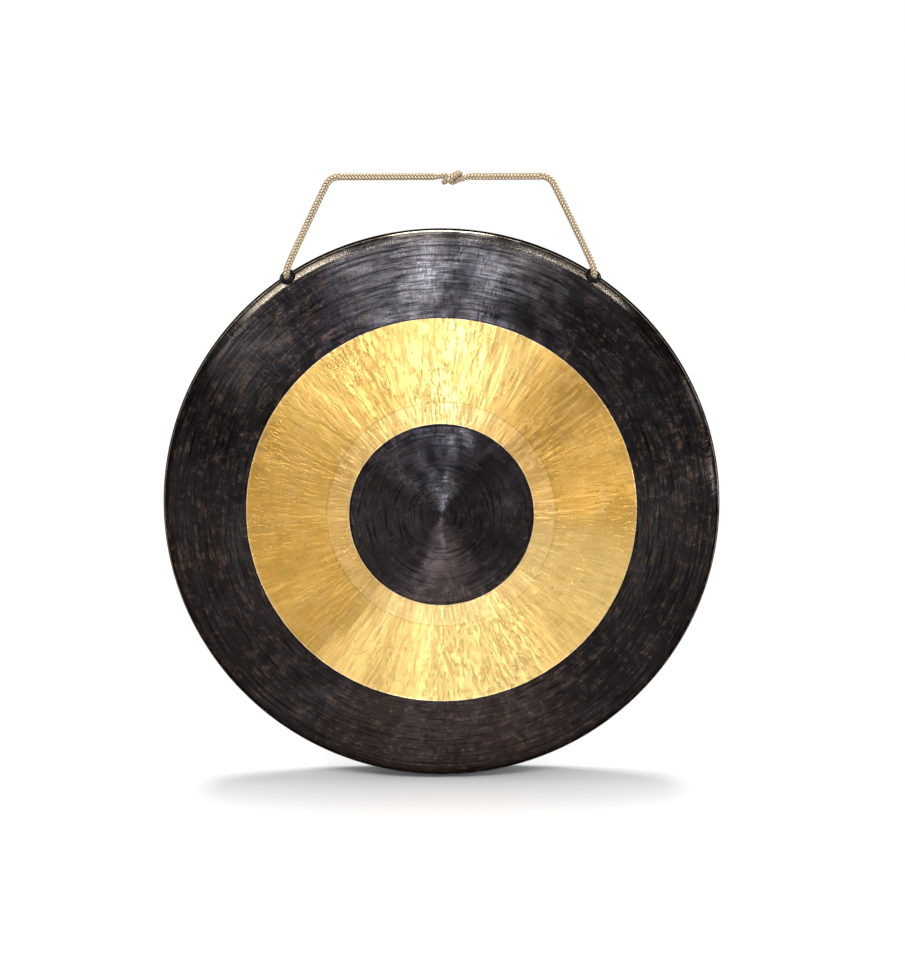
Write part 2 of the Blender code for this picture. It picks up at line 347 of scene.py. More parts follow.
# Radius from the disc's axis, and places that run round it, so that brush marks are circles
def buildLatheGroup():
    tree, gin, gout = newGroup(
        "latheMarks", {"Round": 3.0, "Fine": 900.0},
        ("Radius", "Marks", "Broad", *ringNoises, *sectorMasks),
    )
    place = addNode(tree, "ShaderNodeTexCoord").outputs["Object"]
    centred = addNode(tree, "ShaderNodeMapping", {"Location": (0, 0, disc["drop"])})
    link(tree, place, centred.inputs["Vector"])
    axes = addNode(tree, "ShaderNodeSeparateXYZ")
    link(tree, centred.outputs[0], axes.inputs[0])
    flat = addNode(tree, "ShaderNodeCombineXYZ")
    link(tree, axes.outputs["X"], flat.inputs["X"])
    link(tree, axes.outputs["Z"], flat.inputs["Z"])
    length = addNode(tree, "ShaderNodeVectorMath", operation="LENGTH")
    link(tree, flat.outputs[0], length.inputs[0])
    way = addNode(tree, "ShaderNodeVectorMath", operation="NORMALIZE")
    link(tree, flat.outputs[0], way.inputs[0])
    wayAxes = addNode(tree, "ShaderNodeSeparateXYZ")
    link(tree, way.outputs[0], wayAxes.inputs[0])
    radius = length.outputs["Value"]

    def marks(roundScale, radialScale, shift, detail=3.0):
        ring = addNode(tree, "ShaderNodeCombineXYZ")
        outward = mathNode(tree, "MULTIPLY_ADD", radius, radialScale, shift)
        link(tree, multiply(tree, wayAxes.outputs["X"], roundScale), ring.inputs["X"])
        link(tree, outward, ring.inputs["Y"])
        link(tree, multiply(tree, wayAxes.outputs["Z"], roundScale), ring.inputs["Z"])
        return noiseTexture(tree, ring.outputs[0], 1.0, detail, 0.6)

    # 1 in the ways listed, and 0 well off them
    def sectors(ways, low, high):
        total = None
        for turn, share in ways:
            angle = math.radians(turn)
            facing = addNode(tree, "ShaderNodeVectorMath", operation="DOT_PRODUCT")
            link(tree, way.outputs[0], facing.inputs[0])
            facing.inputs[1].default_value = (math.sin(angle), 0, math.cos(angle))
            near = rangeMap(tree, facing.outputs["Value"], low, high, 0.0, share)
            total = near if total is None else mathNode(tree, "MAXIMUM", total, near)
        return total

    link(tree, radius, gout.inputs["Radius"])
    link(tree, marks(gin.outputs["Round"], gin.outputs["Fine"], 0.0), gout.inputs["Marks"])
    broadScale = multiply(tree, gin.outputs["Fine"], 0.16)
    link(tree, marks(gin.outputs["Round"], broadScale, 7.0), gout.inputs["Broad"])
    for key, values in ringNoises.items():
        link(tree, marks(*values), gout.inputs[key])
    for key, values in sectorMasks.items():
        link(tree, sectors(*values), gout.inputs[key])
    return tree


# Thin scratches in every direction: stretched noises, cut at a level
def buildScratchGroup():
    tree, gin, gout = newGroup("crossScratches", {"Scale": 40.0, "Amount": 0.5}, ("Scratches",))
    place = addNode(tree, "ShaderNodeTexCoord").outputs["Object"]
    found = []
    for turn, stretch in ((0.5, 26.0), (-0.9, 22.0), (1.9, 30.0)):
        mapping = addNode(tree, "ShaderNodeMapping", {
            "Rotation": (0, turn, 0), "Scale": (1.0, 1.0, stretch),
        })
        link(tree, place, mapping.inputs["Vector"])
        scratch = addNode(tree, "ShaderNodeTexNoise", {"Detail": 1.0, "Roughness": 0.4})
        link(tree, mapping.outputs[0], scratch.inputs["Vector"])
        link(tree, gin.outputs["Scale"], scratch.inputs["Scale"])
        level = mathNode(tree, "SUBTRACT", scratch.outputs["Fac"], 0.5)
        level = mathNode(tree, "ABSOLUTE", level)
        found.append(rangeMap(tree, level, 0.0, 0.012, 1.0, 0.0, False))
    total = mathNode(tree, "MAXIMUM", mathNode(tree, "MAXIMUM", found[0], found[1]), found[2])
    patches = rangeMap(tree, noiseTexture(tree, place, 55.0, 2.0), 0.5, 0.62)
    link(tree, multiply(tree, total, patches, gin.outputs["Amount"]), gout.inputs["Scratches"])
    return tree


# 1 on a circle of the disc, 0 a width away from it
def nearRadius(tree, radius, place, width):
    away = mathNode(tree, "ABSOLUTE", mathNode(tree, "SUBTRACT", radius, place))
    return rangeMap(tree, away, width * 0.5, width, 1.0, 0.0)


def nearBandEdges(tree, radius, width):
    inner = nearRadius(tree, radius, disc["bandInner"], width)
    return mathNode(tree, "MAXIMUM", inner, nearRadius(tree, radius, disc["bandOuter"], width))


# The black skin: blue-grey in patches, with a painted sheen of it at the top, and brown where the
# bronze shows through
def skinColour(tree, lathe, noises, depth, radius, edgeRadius, groove):
    streaks, sheenTop = lathe.outputs["Streaks"], lathe.outputs["SheenTop"]
    # Painted sheen: the blue-grey is laid mostly in the top sector, where the light falls, and only
    # weakly elsewhere
    blue = multiply(
        tree, rangeMap(tree, noises["cloud"], 0.34, 0.74),
        rangeMap(tree, streaks, 0.34, 0.60, 0.2, 1.0),
        mathNode(tree, "MULTIPLY_ADD", sheenTop, 0.88, 0.12),
    )
    skin = mixColour(tree, blue, finish["blackSkin"], finish["blueSkinAndSheen"])
    brown = multiply(
        tree, rangeMap(tree, noises["mottle"], 0.44, 0.70), rangeMap(tree, streaks, 0.38, 0.64),
        mathNode(tree, "MULTIPLY_ADD", sheenTop, -0.6, 1.0),
        rangeMap(tree, radius, 60 * mm, 95 * mm, 0.35, 1.0),
    )
    skin = mixColour(tree, brown, skin, finish["brownSkinAndSheen"])
    # Painted sheen: brown laid over the bottom sector of the skin
    skin = mixColour(tree, lathe.outputs["BottomSheen"], skin, finish["brownSkinAndSheen"])
    inSpot = rangeMap(tree, radius, disc["bandInner"], disc["bandInner"] + 1 * mm, 1.0, 0.0)
    lines = mixValue(tree, inSpot, lathe.outputs["Marks"], lathe.outputs["Circles"])
    skin = shadeColour(tree, skin, rangeMap(tree, lines, 0.36, 0.64, 0.35, 2.0, False))
    # Painted shade: the rim's front edge and the groove are drawn darker
    rimShade = multiply(
        tree, rangeMap(tree, radius, finish["rimDark"], finish["rimDark"] + 0.8 * mm),
        rangeMap(tree, depth, 8 * mm, 14 * mm, 1.0, 0.3),
    )
    dark = mathNode(tree, "MAXIMUM", rimShade, multiply(tree, groove, 0.6))
    skin = mixColour(tree, dark, skin, finish["rimAndGrooveShade"])
    nearEdge = nearBandEdges(tree, edgeRadius, finish["tintWidth"])
    return mixColour(tree, nearEdge, skin, finish["heatTint"])


# The scraped ring: deeper and paler gold in soft patches, with a bright line at both edges, and a
# painted highlight in the sectors where the fans of light fall
def goldColour(tree, lathe, noises, scratches, edgeRadius, innerPass):
    tone = rangeMap(tree, noises["tone"], 0.36, 0.66)
    gold = mixColour(tree, tone, finish["goldDeep"], finish["gold"])
    broad = rangeMap(tree, lathe.outputs["Broad"], 0.45, 0.75, 0.0, 0.12)
    gold = mixColour(tree, broad, gold, finish["goldPale"])
    # Painted highlight: paler gold laid over the sectors where the fans of light fall
    gold = mixColour(tree, lathe.outputs["Bright"], gold, finish["goldHighlight"])
    gold = mixColour(tree, multiply(tree, innerPass, 0.16), gold, finish["goldPale"])
    passEdge = nearRadius(tree, edgeRadius, finish["stepRadius"] + 0.8 * mm, 1.2 * mm)
    gold = mixColour(tree, multiply(tree, passEdge, 0.25), gold, finish["passLine"])
    gold = mixColour(tree, multiply(tree, scratches, 0.35), gold, finish["goldPale"])
    glow = nearBandEdges(tree, edgeRadius, finish["edgeGlow"])
    gold = mixColour(tree, multiply(tree, glow, 0.7), gold, finish["goldPale"])
    specks = rangeMap(tree, noises["specks"], 0.68, 0.76, 0.0, 0.7)
    gold = mixColour(tree, specks, gold, finish["speck"])
    lines = mathNode(tree, "ADD", lathe.outputs["Marks"], lathe.outputs["Hatch"])
    return shadeColour(tree, gold, rangeMap(tree, lines, 0.75, 1.25, 0.84, 1.12, False))


# Fine relief: lathe marks, peening drawn out towards the rim, pits and scratches
def bronzeRelief(tree, lathe, noises, scratches, radius, band, innerPass, groove):
    outside = rangeMap(tree, radius, 50 * mm, 90 * mm)
    beatenShare = mathNode(tree, "MULTIPLY_ADD", lathe.outputs["Beaten"], 0.92, 0.08)
    patches = multiply(tree, rangeMap(tree, noises["patches"], 0.32, 0.52, 0.35, 1.0), outside)
    beaten = multiply(tree, patches, beatenShare)
    dents = multiply(tree, rangeMap(tree, lathe.outputs["Dimples"], 0.50, 0.68), beaten)
    pits = multiply(tree, noises["pits"], beaten, relief["pits"])
    beating = mathNode(tree, "MULTIPLY_ADD", dents, relief["dents"], pits)
    strength = mathNode(tree, "MULTIPLY_ADD", band, 0.65, 0.35)
    height = multiply(tree, lathe.outputs["Marks"], relief["marks"])
    height = mathNode(tree, "MULTIPLY_ADD", beating, strength, height)
    hatch = multiply(tree, lathe.outputs["Hatch"], outside)
    rolling = multiply(
        tree, mathNode(tree, "MULTIPLY_ADD", lathe.outputs["Beaten"], 0.6, 0.4), outside,
        mathNode(tree, "MULTIPLY_ADD", band, 0.85, 0.15),
    )
    waves = multiply(tree, lathe.outputs["Waves"], rolling)
    for source, key in ((hatch, "hatch"), (waves, "waves"), (scratches, "scratches"),
                        (innerPass, "innerPass"), (groove, "groove")):
        height = mathNode(tree, "MULTIPLY_ADD", source, relief[key], height)
    bump = addNode(tree, "ShaderNodeBump", {"Strength": 1.0, "Distance": relief["distance"]})
    link(tree, height, bump.inputs["Height"])
    return bump.outputs[0]


# One material for the whole disc: black skin, scraped ring and worn edge with a painted highlight,
# told apart by radius
def buildBronze(latheMarks, crossScratches):
    material, tree, shader = newMaterial("hammeredBronze")
    lathe = placeGroup(tree, latheMarks, {"Round": 5.0, "Fine": 720.0})
    scratches = placeGroup(tree, crossScratches, {"Scale": 34.0, "Amount": 1.0}).outputs[0]
    radius = lathe.outputs["Radius"]
    place = addNode(tree, "ShaderNodeTexCoord").outputs["Object"]
    axes = addNode(tree, "ShaderNodeSeparateXYZ")
    link(tree, place, axes.inputs[0])
    noises = {key: noiseTexture(tree, place, *values) for key, values in bronzeNoises.items()}
    mottle = noises["mottle"]

    wobble = mathNode(tree, "SUBTRACT", noises["wobble"], 0.5)
    edgeRadius = mathNode(tree, "MULTIPLY_ADD", wobble, finish["edgeWobble"], radius)
    blur = finish["edgeBlur"]
    past = [
        rangeMap(tree, edgeRadius, disc[key] - blur, disc[key] + blur)
        for key in ("bandInner", "bandOuter")
    ]
    band = mathNode(tree, "SUBTRACT", *past, clamp=True)
    step = finish["stepRadius"]
    innerPass = rangeMap(tree, edgeRadius, step, step + 0.6 * mm, 1.0, 0.0)
    groove = nearRadius(tree, edgeRadius, finish["groove"], finish["grooveWidth"])

    skin = skinColour(tree, lathe, noises, axes.outputs["Y"], radius, edgeRadius, groove)
    gold = goldColour(tree, lathe, noises, scratches, edgeRadius, innerPass)
    colour = mixColour(tree, band, skin, gold)
    # The thin pale line round the rim: partly wear, partly a painted highlight
    wornAndSheen = multiply(
        tree, nearRadius(tree, edgeRadius, finish["wornSheenRadius"], finish["wornSheenWidth"]),
        rangeMap(tree, mottle, 0.30, 0.50, 0.25, 1.0),
    )
    colour = mixColour(tree, wornAndSheen, colour, finish["wornBronzeAndSheen"])
    # Painted sheen: a pale bronze band on the shoulder beside the grommets, where an overhead lamp
    # is reflected
    shoulder = multiply(
        tree, nearRadius(tree, radius, finish["shoulderSheenRadius"], finish["shoulderSheenWidth"]), 0.5,
        lathe.outputs["ShoulderSheen"],
    )
    colour = mixColour(tree, shoulder, colour, finish["wornBronzeAndSheen"])
    link(tree, colour, shader.inputs["Base Color"])

    skinRough, goldRough = finish["skinRoughness"], finish["goldRoughness"]
    rough = mixValue(
        tree, band,
        rangeMap(tree, mottle, 0.3, 0.75, skinRough - 0.04, skinRough + 0.10),
        rangeMap(tree, noises["tone"], 0.3, 0.7, goldRough - 0.05, goldRough + 0.05),
    )
    link(tree, rough, shader.inputs["Roughness"])
    shader.inputs["Metallic"].default_value = 1.0
    shader.inputs["Specular Tint"].default_value = finish["specularTint"]
    shader.inputs["Anisotropic"].default_value = finish["grain"]
    tangent = addNode(tree, "ShaderNodeTangent", direction_type="UV_MAP", uv_map="polar")
    link(tree, tangent.outputs[0], shader.inputs["Tangent"])
    normal = bronzeRelief(tree, lathe, noises, scratches, radius, band, innerPass, groove)
    link(tree, normal, shader.inputs["Normal"])
    return material


def buildRubber():
    material, tree, shader = newMaterial("grommetRubber")
    place = addNode(tree, "ShaderNodeTexCoord").outputs["Object"]
    dust = noiseTexture(tree, place, 260.0, 4.0, 0.6)
    link(tree, ramp(tree, dust, [(0.35, (0.001, 0.001, 0.001)), (0.75, (0.004, 0.004, 0.004))]),
         shader.inputs["Base Color"])
    link(tree, rangeMap(tree, dust, 0.3, 0.8, 0.22, 0.42), shader.inputs["Roughness"])
    shader.inputs["Specular IOR Level"].default_value = 0.16
    bump = addNode(tree, "ShaderNodeBump", {"Strength": 0.12, "Distance": 0.2 * mm})
    link(tree, noiseTexture(tree, place, 1400.0, 2.0), bump.inputs["Height"])
    link(tree, bump.outputs[0], shader.inputs["Normal"])
    return material


def buildBraid():
    material, tree, shader = newMaterial("braidedCord")
    place = addNode(tree, "ShaderNodeTexCoord").outputs["Object"]
    crease = addNode(tree, "ShaderNodeAttribute", attribute_name="braidHeight").outputs["Fac"]
    fray = noiseTexture(tree, place, 90.0, 4.0, 0.6)
    # Painted shade: the braid's creases are drawn dark brown and its strands cream
    creamAndCreaseShade = ramp(tree, crease, [
        (0.10, (0.03, 0.014, 0.005)), (0.50, (0.19, 0.115, 0.050)),
        (0.76, (0.52, 0.39, 0.23)), (0.95, (0.76, 0.67, 0.51)),
    ])
    stain = rangeMap(tree, fray, 0.42, 0.72, 0.0, 0.35)
    link(tree, mixColour(tree, stain, creamAndCreaseShade, (0.50, 0.38, 0.23)), shader.inputs["Base Color"])
    shader.inputs["Roughness"].default_value = 0.78
    shader.inputs["Sheen Weight"].default_value = 0.25
    shader.inputs["Specular IOR Level"].default_value = 0.3
    yarn = addNode(tree, "ShaderNodeAttribute", attribute_name="yarn").outputs["Fac"]
    fibres = mathNode(tree, "SINE", multiply(tree, yarn, math.tau * 5))
    fuzz = noiseTexture(tree, place, 1800.0, 2.0)
    height = mathNode(tree, "MULTIPLY_ADD", fuzz, 0.8, multiply(tree, fibres, 0.2))
    bump = addNode(tree, "ShaderNodeBump", {"Strength": 0.5, "Distance": 0.12 * mm})
    link(tree, height, bump.inputs["Height"])
    link(tree, bump.outputs[0], shader.inputs["Normal"])
    return material


bronze = buildBronze(buildLatheGroup(), buildScratchGroup())
rubber = buildRubber()
braid = buildBraid()
print("materials built")


# Camera, fitted to the photograph: 10 degrees above level, just right of the disc's axis

camera = {
    "place": Vector((0.00988, -1.0900, -0.0718)),
    "aim": Vector((0.00988, -0.0030, -0.2655)),
    "roll": math.radians(0.2),
    "focalPixels": 1244.9,
    "tallPixels": 968,
    "sensor": 36.0,
    "clipStart": 0.01,
    "clipEnd": 50,
}


def addCamera():
    data = bpy.data.cameras.new("photoCamera")
    data.sensor_width = camera["sensor"]
    data.lens = camera["focalPixels"] * camera["sensor"] / camera["tallPixels"]
    data.clip_start = camera["clipStart"]
    data.clip_end = camera["clipEnd"]
    thing = bpy.data.objects.new("photoCamera", data)
    bpy.context.scene.collection.objects.link(thing)
    turn = (camera["aim"] - camera["place"]).to_track_quat("-Z", "Y").to_matrix().to_4x4()
    roll = Matrix.Rotation(-camera["roll"], 4, "Z")
    thing.matrix_world = Matrix.Translation(camera["place"]) @ turn @ roll
    bpy.context.scene.camera = thing


addCamera()


# Cord: one loop, cut where the object flexes. Its routes are those of the solid parts

def holeAxis(side):
    return Vector((
        side * math.sin(hole["angle"]) * math.sin(hole["tilt"]),
        -math.cos(hole["tilt"]),
        math.cos(hole["angle"]) * math.sin(hole["tilt"]),
    ))


def holeCentre(side):
    reach = domeRadius + disc["shoulder"] * math.sin(hole["tilt"])
    return Vector((
        side * reach * math.sin(hole["angle"]),
        discCentre.y - disc["rimDepth"] + disc["shoulder"] * (1 - math.cos(hole["tilt"])),
        reach * math.cos(hole["angle"]) - disc["drop"],
    ))


# The cord's bend out of the bore: way 1 in front, up to the hook, and -1 behind, across
def boreRoute(side, way, steps):
    axis = holeAxis(side)
    corner = Vector((side * cord["hookReach"], 0, 0))
    towards = {
        1: (corner - holeCentre(side) - axis * hole["front"]).normalized(),
        -1: Vector((-side, 0, 0)),
    }
    sideways = {key: (d - axis * d.dot(axis)).normalized() for key, d in towards.items()}
    start = holeCentre(side) - axis * cord["boreBendStart"]
    start -= (sideways[1] + sideways[-1]).normalized() * cord["boreOffset"]
    full = math.acos(axis.dot(towards[way]) * way)
    points = []
    for i in range(steps + 1):
        angle = full * i / steps
        along = axis * (way * cord["bend"] * math.sin(angle))
        points.append(start + along + sideways[way] * (cord["bend"] * (1 - math.cos(angle))))
    return points


# Points on a smooth curve through a route's own points, about a spacing apart
def smoothRoute(points, spacing):
    padded = [points[0] * 2 - points[1], *points, points[-1] * 2 - points[-2]]
    route = [points[0]]
    for p0, p1, p2, p3 in zip(padded, padded[1:], padded[2:], padded[3:]):
        t1 = math.sqrt((p1 - p0).length)
        t2 = t1 + math.sqrt((p2 - p1).length)
        t3 = t2 + math.sqrt((p3 - p2).length)
        steps = max(1, round((p2 - p1).length / spacing))
        for i in range(1, steps + 1):
            t = t1 + (t2 - t1) * i / steps
            a1 = p0 + (p1 - p0) * (t / t1)
            a2 = p1 + (p2 - p1) * ((t - t1) / (t2 - t1))
            a3 = p2 + (p3 - p2) * ((t - t2) / (t3 - t2))
            b1 = a1 + (a2 - a1) * (t / t2)
            b2 = a2 + (a3 - a2) * ((t - t1) / (t3 - t1))
            route.append(b1 + (b2 - b1) * ((t - t1) / (t2 - t1)))
    return route


# The same curve with its points an even step apart, and how far along it each lies
def evenRoute(points, step):
    fine = smoothRoute(points, step / 2)
    place = np.array([list(p) for p in fine])
    along = np.concatenate([[0.0], np.cumsum(np.linalg.norm(np.diff(place, axis=0), axis=1))])
    rings = int(along[-1] / step) + 1
    even = np.linspace(0.0, along[-1], rings)
    return np.stack([np.interp(even, along, place[:, k]) for k in range(3)], 1), even


# Height of a braid, over two and under two: 0 in a crease, 1 on a strand
def braidRelief(turns, along):
    a = cord["strands"] * turns + along / cord["pick"]
    b = cord["strands"] * turns - along / cord["pick"]
    ia, ib = np.floor(a), np.floor(b)
    fa, fb = a - ia, b - ib
    over = np.mod(ia + ib, 4)
    rightOnTop = over < 2
    across = np.where(rightOnTop, fa, fb)
    lengthwise = np.where(rightOnTop, (over + fb) / 2, (np.mod(over, 2) + fa) / 2)
    height = np.sin(np.pi * across) ** 0.55 * (0.45 + 0.55 * np.sin(np.pi * lengthwise) ** 0.7)
    return height, across


# A closed tube whose skin is braided. shares scale its radius along the route
def braidedCord(name, points, shares=None, startAlong=0.0):
    centres, along = evenRoute(points, cord["step"])
    rings = len(centres)
    bm = bmesh.new()
    bmesh.ops.create_grid(bm, x_segments=cord["around"], y_segments=rings - 1, size=0.5)
    piece = newMesh(name, bm, [braid])
    flat = readPoints(piece.data)
    turns = flat[:, 0] + 0.5
    ring = np.rint((flat[:, 1] + 0.5) * (rings - 1)).astype(int)

    forward = np.gradient(centres, axis=0)
    forward /= np.linalg.norm(forward, axis=1)[:, None]
    side = np.empty_like(centres)
    side[0] = np.cross(forward[0], (0.0, 1.0, 0.0))
    for i in range(rings):
        carried = side[i - 1] if i else side[0]
        carried = carried - forward[i] * carried.dot(forward[i])
        side[i] = carried / np.linalg.norm(carried)
    up = np.cross(forward, side)

    height, across = braidRelief(turns, along[ring] + startAlong)
    share = np.ones(rings) if shares is None else shares(centres)
    radius = (cord["radius"] - cord["relief"] * (1 - height)) * share[ring]
    angle = math.tau * turns
    spokes = side[ring] * np.cos(angle)[:, None] + up[ring] * np.sin(angle)[:, None]
    writePoints(piece.data, centres[ring] + spokes * radius[:, None])
    for key, values in (("braidHeight", height), ("yarn", across)):
        attribute = piece.data.attributes.new(key, "FLOAT", "POINT")
        attribute.data.foreach_set("value", values.astype(np.float32))

    bm = bmesh.new()
    bm.from_mesh(piece.data)
    bmesh.ops.remove_doubles(bm, verts=bm.verts, dist=cord["weld"])
    bmesh.ops.holes_fill(bm, edges=[e for e in bm.edges if e.is_boundary])
    bmesh.ops.recalc_face_normals(bm, faces=bm.faces)
    bm.to_mesh(piece.data)
    bm.free()
    piece.data.shade_smooth()
    return piece, centres, along[-1]


def knotPoints():
    route = (
        (-19, 0, 0), (-15, 0, 0), (-11.2, 0.1, 0.2), (-8.1, 0.2, 0.6), (-5, 0.5, 0.5),
        (-2.6, 0.9, -1.4), (-1.3, 2.4, -3.7), (0.4, 4.9, -4.4), (2.8, 6.7, -3.5), (5.1, 7, -1.4),
        (6.5, 5.7, 0.9), (6.8, 3.1, 2.7), (5.9, 0.1, 3.1), (3.8, -2.3, 2.3), (1.3, -3.6, 0.7),
        (-1.1, -4.6, -1.1), (-3.6, -4.5, -2.8), (-5.8, -2.5, -4.1), (-6.9, 0.6, -4.5),
        (-6.5, 3.6, -3.5), (-4.9, 5.6, -1.6), (-2.3, 5.9, 0), (0.4, 4.6, 0.8), (2.5, 2.6, -0.2),
        (4.9, 1.6, -2), (7.9, 0.9, -2.1), (11, 0.3, -0.9), (15, 0, 0), (19, 0, 0),
    )
    return [Vector((cord["knotPlace"], 0, 0)) + Vector(p) * mm for p in route]


# The knot draws its cord thin, less so where it crosses in front
def knotShares(centres):
    front = np.clip(-centres[:, 1] / cord["radius"] - 0.3, 0, 1)
    thin = cord["knotThin"] + (cord["knotFront"] - cord["knotThin"]) * front
    out = np.abs(centres[:, 0] - cord["knotPlace"]) / cord["knotHalf"]
    return thin + (1 - thin) * np.clip((out - 0.6) / 0.3, 0, 1)


def legPoints(side):
    reach = cord["hookReach"]
    bend = (
        (cord["hookSplit"], 0, 0), (reach - 7.0 * mm, 0, 0),
        (reach - 4.0 * mm, 0, -0.5 * mm), (reach - 1.2 * mm, 0, -1.9 * mm),
        (reach + 1.6 * mm, 0, -4.3 * mm), (reach + 3.8 * mm, 0, -7.9 * mm),
    )
    return [Vector((side * x, y, z)) for x, y, z in bend] + list(reversed(boreRoute(side, 1, 4)))


def makeCords():
    split = cord["hookSplit"]
    topPoints = [
        Vector((-split, 0, 0)), Vector((-split / 2, 0, 0)), *knotPoints(), Vector((split, 0, 0)),
    ]
    top, topPath, topLength = braidedCord("cordTop", topPoints, knotShares)
    finishPiece(
        top, "hanging_cord", ["cord_top_left", "cord_knot", "cord_top_right"],
    )
    for side, word in ((-1, "left"), (1, "right")):
        leg, legPath, legLength = braidedCord("cordLeg" + word.capitalize(), legPoints(side))
        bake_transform(leg)
        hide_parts("cord_leg_" + word)
    left = boreRoute(-1, -1, 6)
    right = [Vector((-p.x, p.y, p.z)) for p in reversed(left)]
    back, backPath, backLength = braidedCord("cordBack", left + right)
    finishPiece(back, "gong", ["cord_back"])
    print("cord lengths, mm:", [round(1000 * x) for x in (topLength, legLength, backLength)])


makeCords()


# Disc: a turned section, then its hammer marks as moves of the points

hammer = {
    "rowStep": 11.5 * mm,
    "first": 16 * mm,
    "last": 232 * mm,
    "size": 8.0 * mm,
    "depth": 0.15 * mm,
    "sway": 0.30 * mm,       # slow waves left by the forging
    "swayScale": 19.0,
    "scrapedShare": 0.45,    # how much of the marks the scraping left
    "fewest": 5,             # blows in a ring
    "sideStray": 0.5,        # how far a blow misses its place, in shares of a step
    "outStray": 0.45,
    "reach": 2.6,            # how far a blow is felt, in its sizes
    "steepness": 1.6,
    "fadePast": 3 * mm,      # the marks end this far past the dome
    "fadeWidth": 12 * mm,
}


def arcPoints(centreR, centreY, radius, first, last, steps):
    angles = [first + (last - first) * i / steps for i in range(steps + 1)]
    return [(centreR + radius * math.sin(a), centreY - radius * math.cos(a)) for a in angles]


# One side of the domed face from its middle out; the cut at each edge of the ring is a short slope
def facePoints(offset, bandOffset, step, edge):
    radii = []
    stretches = (
        (0.0, disc["bandInner"] - edge, offset),
        (disc["bandInner"] + edge, disc["bandOuter"] - edge, bandOffset),
        (disc["bandOuter"] + edge, domeRadius, offset),
    )
    for first, last, back in stretches:
        count = max(2, round((last - first) / step))
        radii += [(first + (last - first) * i / count, back) for i in range(count + 1)]
    radii.pop()
    points = []
    for radius, back in radii:
        standOut = disc["dome"] * (1 - (radius / domeRadius) ** 2)
        points.append((radius, -disc["rimDepth"] - standOut + back))
    return points


def discSection(grown, frontStep, backStep, shoulderSteps):
    wall, cut = disc["wall"], disc["bandCut"]
    chamfer = disc["lipChamfer"]
    centreY = -disc["rimDepth"] + disc["shoulder"]
    quarter = math.pi / 2
    section = facePoints(-grown, cut - grown, frontStep, disc["cutSlope"])
    section += arcPoints(domeRadius, centreY, disc["shoulder"] + grown, 0, quarter, shoulderSteps)
    outer = disc["radius"] + grown
    inner = disc["radius"] - wall - grown
    rimStart, rimEnd = centreY, -chamfer
    steps = disc["rimSteps"]
    section += [(outer, rimStart + (rimEnd - rimStart) * i / steps) for i in range(1, steps + 1)]
    section += [(outer - chamfer, grown), (inner + chamfer, grown)]
    section += [(inner, rimEnd + (rimStart - rimEnd) * i / steps) for i in range(steps)]
    inside = disc["shoulder"] - wall - grown
    section += arcPoints(domeRadius, centreY, inside, quarter, 0, shoulderSteps)
    section += reversed(facePoints(wall + grown, wall - cut + grown, backStep, disc["cutSlope"]))
    return section


# The closed section, turned about the disc's axis and hung in its place
def spinSection(section, sides):
    bm = bmesh.new()
    ring = [bm.verts.new((r, y, 0.0)) for r, y in section]
    edges = [bm.edges.new(pair) for pair in zip(ring, ring[1:] + ring[:1])]
    bmesh.ops.spin(
        bm, geom=ring + edges, cent=(0, 0, 0), axis=(0, 1, 0), angle=math.tau, steps=sides,
        use_merge=True,
    )
    bmesh.ops.remove_doubles(bm, verts=bm.verts, dist=weld)
    bmesh.ops.dissolve_degenerate(bm, dist=weld, edges=bm.edges)
    loose = [e for e in bm.edges if not e.link_faces]
    bmesh.ops.delete(bm, geom=loose, context="EDGES")
    bmesh.ops.recalc_face_normals(bm, faces=bm.faces)
    bmesh.ops.translate(bm, vec=discCentre, verts=bm.verts)
    return bm


# Blows in rings about the middle, each a little off its place, with its own size and depth
def hammerPlaces():
    places = []
    radius = hammer["first"]
    while radius < hammer["last"]:
        count = max(hammer["fewest"], int(math.tau * radius / hammer["rowStep"]))
        turn = rng.random() * math.tau
        for i in range(count):
            angle = turn + math.tau * (i + hammer["sideStray"] * (rng.random() - 0.5)) / count
            reach = radius + hammer["rowStep"] * hammer["outStray"] * (rng.random() - 0.5)
            size = hammer["size"] * (0.7 + 0.7 * rng.random())
            depth = hammer["depth"] * (0.2 + 1.3 * rng.random() ** 2)
            places.append((reach * math.cos(angle), reach * math.sin(angle), size, depth))
        radius += hammer["rowStep"]
    return np.array(places)


# Push each point of the face and shoulder along the disc's axis by the blows near it
def hammerFace(mesh):
    points = readPoints(mesh)
    x, z = points[:, 0], points[:, 2] + disc["drop"]
    radius = np.hypot(x, z)
    sunk = np.zeros(len(points))
    for px, pz, size, depth in hammerPlaces():
        felt = hammer["reach"] * size
        near = (np.abs(x - px) < felt) & (np.abs(z - pz) < felt)
        away = ((x[near] - px) ** 2 + (z[near] - pz) ** 2) / size ** 2
        sunk[near] += depth * np.exp(-hammer["steepness"] * away)
    scale = hammer["swayScale"]
    sway = np.array([
        noise.noise(Vector((px * scale, 3.0, pz * scale))) for px, pz in zip(x, z)
    ])
    inBand = (radius > disc["bandInner"]) & (radius < disc["bandOuter"])
    sunk *= np.where(inBand, hammer["scrapedShare"], 1.0)
    sunk += hammer["sway"] * sway
    fade = np.clip((domeRadius + hammer["fadePast"] - radius) / hammer["fadeWidth"], 0, 1)
    points[:, 1] += sunk * fade * fade * (3 - 2 * fade)
    writePoints(mesh, points)


